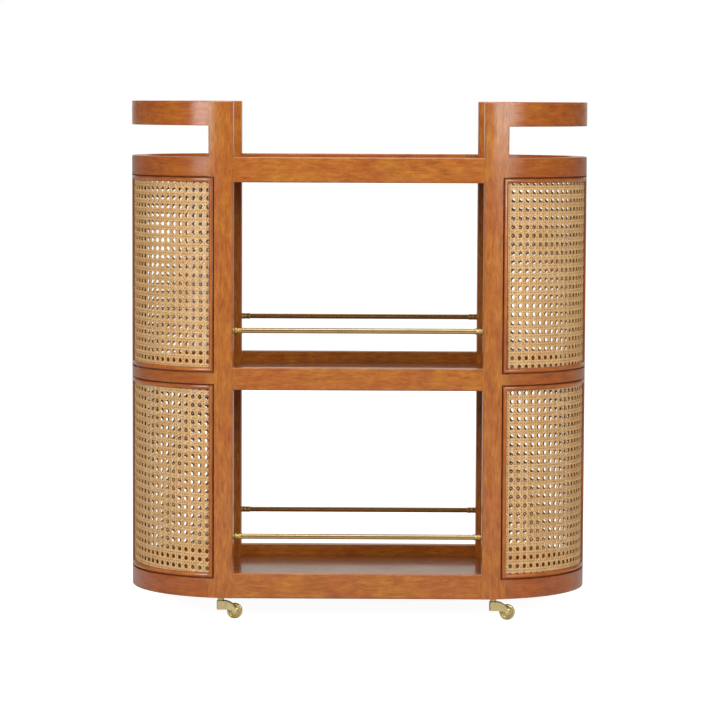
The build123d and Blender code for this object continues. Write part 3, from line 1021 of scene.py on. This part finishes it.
# Collars: a turned brass sleeve under each post, pressed over the mouth of the stem's bore so that the
# horn bears on metal as it turns and doesn't bruise the wood.

collar_profile = [
    (0.0400, 0.0039),
    (0.0400, 0.0060),
    (0.0398, 0.0062),
    (0.0388, 0.0062),
    (0.0385, 0.0059),
    (0.0383, 0.0055),
    (0.0348, 0.0055),
    (0.0345, 0.0058),
    (0.0334, 0.0058),
    (0.0331, 0.0055),
    (0.0331, 0.0039),
]
for corner, (x, y) in stem_axes.items():
    to_place = Matrix.Translation((x, y, 0)) @ Matrix.Rotation(-math.pi / 2, 4, "Y")
    collar = turned_piece("collar_" + corner, collar_profile, 48, to_place, caster_brass, closed=True)
    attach(collar, "cart")


# Studio: a plain pale floor in a white room, lit softly from above, in front and behind, and by a broad
# lamp at each side of the front, whose fading edges show in the lacquer. Nothing here is part of the cart.

floor_data = bpy.data.meshes.new("studio floor")
reach = 60.0
floor_corners = [(-reach, -reach, 0), (reach, -reach, 0), (reach, reach, 0), (-reach, reach, 0)]
floor_data.from_pydata(floor_corners, [], [(0, 1, 2, 3)])
floor = bpy.data.objects.new("studio_floor", floor_data)
bpy.context.scene.collection.objects.link(floor)
pale_floor, tree, shader, place = blank_material("pale floor")
floor_data.materials.append(pale_floor)
shader["Base Color"].default_value = (0.45, 0.45, 0.45, 1)
shader["Roughness"].default_value = 1.0
shader["Specular IOR Level"].default_value = 0.0
shader["Emission Color"].default_value = (1, 1, 1, 1)
rays = put(tree, "LightPath").outputs
seen = reckon(tree, "MAXIMUM", rays["Is Glossy Ray"], rays["Is Transmission Ray"])
seen = reckon(tree, "MAXIMUM", rays["Is Camera Ray"], seen)
tree.links.new(
    reckon(tree, "MULTIPLY_ADD", rays["Is Camera Ray"], 0.83, reckon(tree, "MULTIPLY", seen, 0.12)),
    shader["Emission Strength"],
)

world = bpy.data.worlds.new("white room")
bpy.context.scene.world = world
world.use_nodes = True
tree = world.node_tree
rays = put(tree, "LightPath").outputs
heading = put(tree, "SeparateXYZ", {0: put(tree, "TexCoord").outputs["Generated"]}).outputs
# Reflections see the same room: dim towards its front, paler behind the cart and overhead
walls = rescaled(tree, heading[1], -0.95, -0.30, 0.02, 0.09)
behind = rescaled(tree, heading[1], 0.75, 0.97, 0.0, 0.56)
ceiling = rescaled(tree, heading[2], 0.35, 0.80, 0.0, 0.75)
room = reckon(tree, "ADD", walls, reckon(tree, "ADD", behind, ceiling), clamp=True)
mirrored = reckon(tree, "MAXIMUM", rays["Is Glossy Ray"], rays["Is Transmission Ray"])
mirrored = reckon(tree, "MULTIPLY", mirrored, room)
sides = rescaled(tree, reckon(tree, "ABSOLUTE", heading[0]), 0.20, 0.95, 0.16, 0.46)
overhead = rescaled(tree, heading[2], 0.0, 1.0, 0.0, 0.15)
ambient = reckon(tree, "MULTIPLY", rays["Is Diffuse Ray"], reckon(tree, "ADD", sides, overhead))
strength = reckon(tree, "MAXIMUM", rays["Is Camera Ray"], reckon(tree, "MAXIMUM", mirrored, ambient))
background = tree.nodes["Background"].inputs
warmth = blended(tree, rays["Is Glossy Ray"], (1, 1, 1, 1), (1.0, 0.92, 0.83, 1))
tree.links.new(warmth, background["Color"])
tree.links.new(strength, background["Strength"])


def soft_lamp(name, place, aim, width, height, power, tint=(1, 1, 1), mirrored=True, fades=None):
    """A large rectangular lamp, aimed at a point and unseen by the camera.

    fades gives the shares of its width over which it grows dim towards its left and right edges.
    """
    lamp = bpy.data.lights.new(name, "AREA")
    lamp.shape = "RECTANGLE"
    lamp.size, lamp.size_y = width, height
    lamp.energy = power
    lamp.color = tint
    holder = bpy.data.objects.new(name, lamp)
    holder.location = place
    holder.rotation_mode = "QUATERNION"
    holder.rotation_quaternion = (Vector(aim) - Vector(place)).to_track_quat("-Z", "Y")
    holder.visible_camera = False
    holder.visible_glossy = mirrored
    if fades:
        lamp.use_nodes = True
        tree = lamp.node_tree
        on_lamp = put(tree, "NewGeometry").outputs["Parametric"]
        spread = put(tree, "SeparateXYZ", {0: on_lamp}).outputs[0]
        from_left = rescaled(tree, spread, 0.0, fades[0])
        from_right = rescaled(tree, spread, 1.0 - fades[1], 1.0, 1.0, 0.0)
        faded = reckon(tree, "MULTIPLY", from_left, from_right)
        tree.links.new(faded, tree.nodes["Emission"].inputs["Strength"])
    bpy.context.scene.collection.objects.link(holder)


soft_lamp(
    "lamp_left", (-2.10, -2.37, 1.55), (-0.28, 0, 0.9), 1.5, 1.5, 55, (0.92, 1.0, 1.0), fades=(0.3, 0.3)
)
soft_lamp(
    "lamp_right", (1.86, -2.64, 1.55), (0.28, 0, 0.9), 1.93, 1.5, 65, (0.88, 0.99, 1.0), fades=(0.1, 0.55)
)
soft_lamp("lamp_front", (0.3, -6.2, 2.6), (0, 0, 0.5), 3.0, 2.4, 54, mirrored=False)
soft_lamp("lamp_above", (0, -0.8, 3.4), (0, 0, 0.6), 3.0, 2.4, 50)
soft_lamp("lamp_behind", (0, 4.2, 1.8), (0, 0, 0.5), 2.4, 1.6, 20, mirrored=False)

camera_data = bpy.data.cameras.new("camera")
camera_data.sensor_width = 36.0
camera_data.lens = 160.4
camera_data.clip_end = 200.0
camera = bpy.data.objects.new("camera", camera_data)
bpy.context.scene.collection.objects.link(camera)
# The camera's place and turn, fitted to the edges of the rails, posts and rods in the photograph
CAMERA_PLACE = (0.0326, -5.9287, 0.9449)
CAMERA_TURN, CAMERA_DIP, CAMERA_LEAN = -0.29, 4.718, 0.243
yaw, pitch, roll = (math.radians(angle) for angle in (CAMERA_TURN, CAMERA_DIP, CAMERA_LEAN))
forward = Vector((math.sin(yaw) * math.cos(pitch), math.cos(yaw) * math.cos(pitch), -math.sin(pitch)))
level_right = Vector((math.cos(yaw), -math.sin(yaw), 0))
level_up = level_right.cross(forward)
right = level_right * math.cos(roll) + level_up * math.sin(roll)
up = level_up * math.cos(roll) - level_right * math.sin(roll)
camera.rotation_mode = "QUATERNION"
camera.rotation_quaternion = Matrix((right, up, -forward)).transposed().to_quaternion()
camera.location = CAMERA_PLACE
bpy.context.scene.camera = camera
bpy.context.scene.view_settings.view_transform = "Standard"
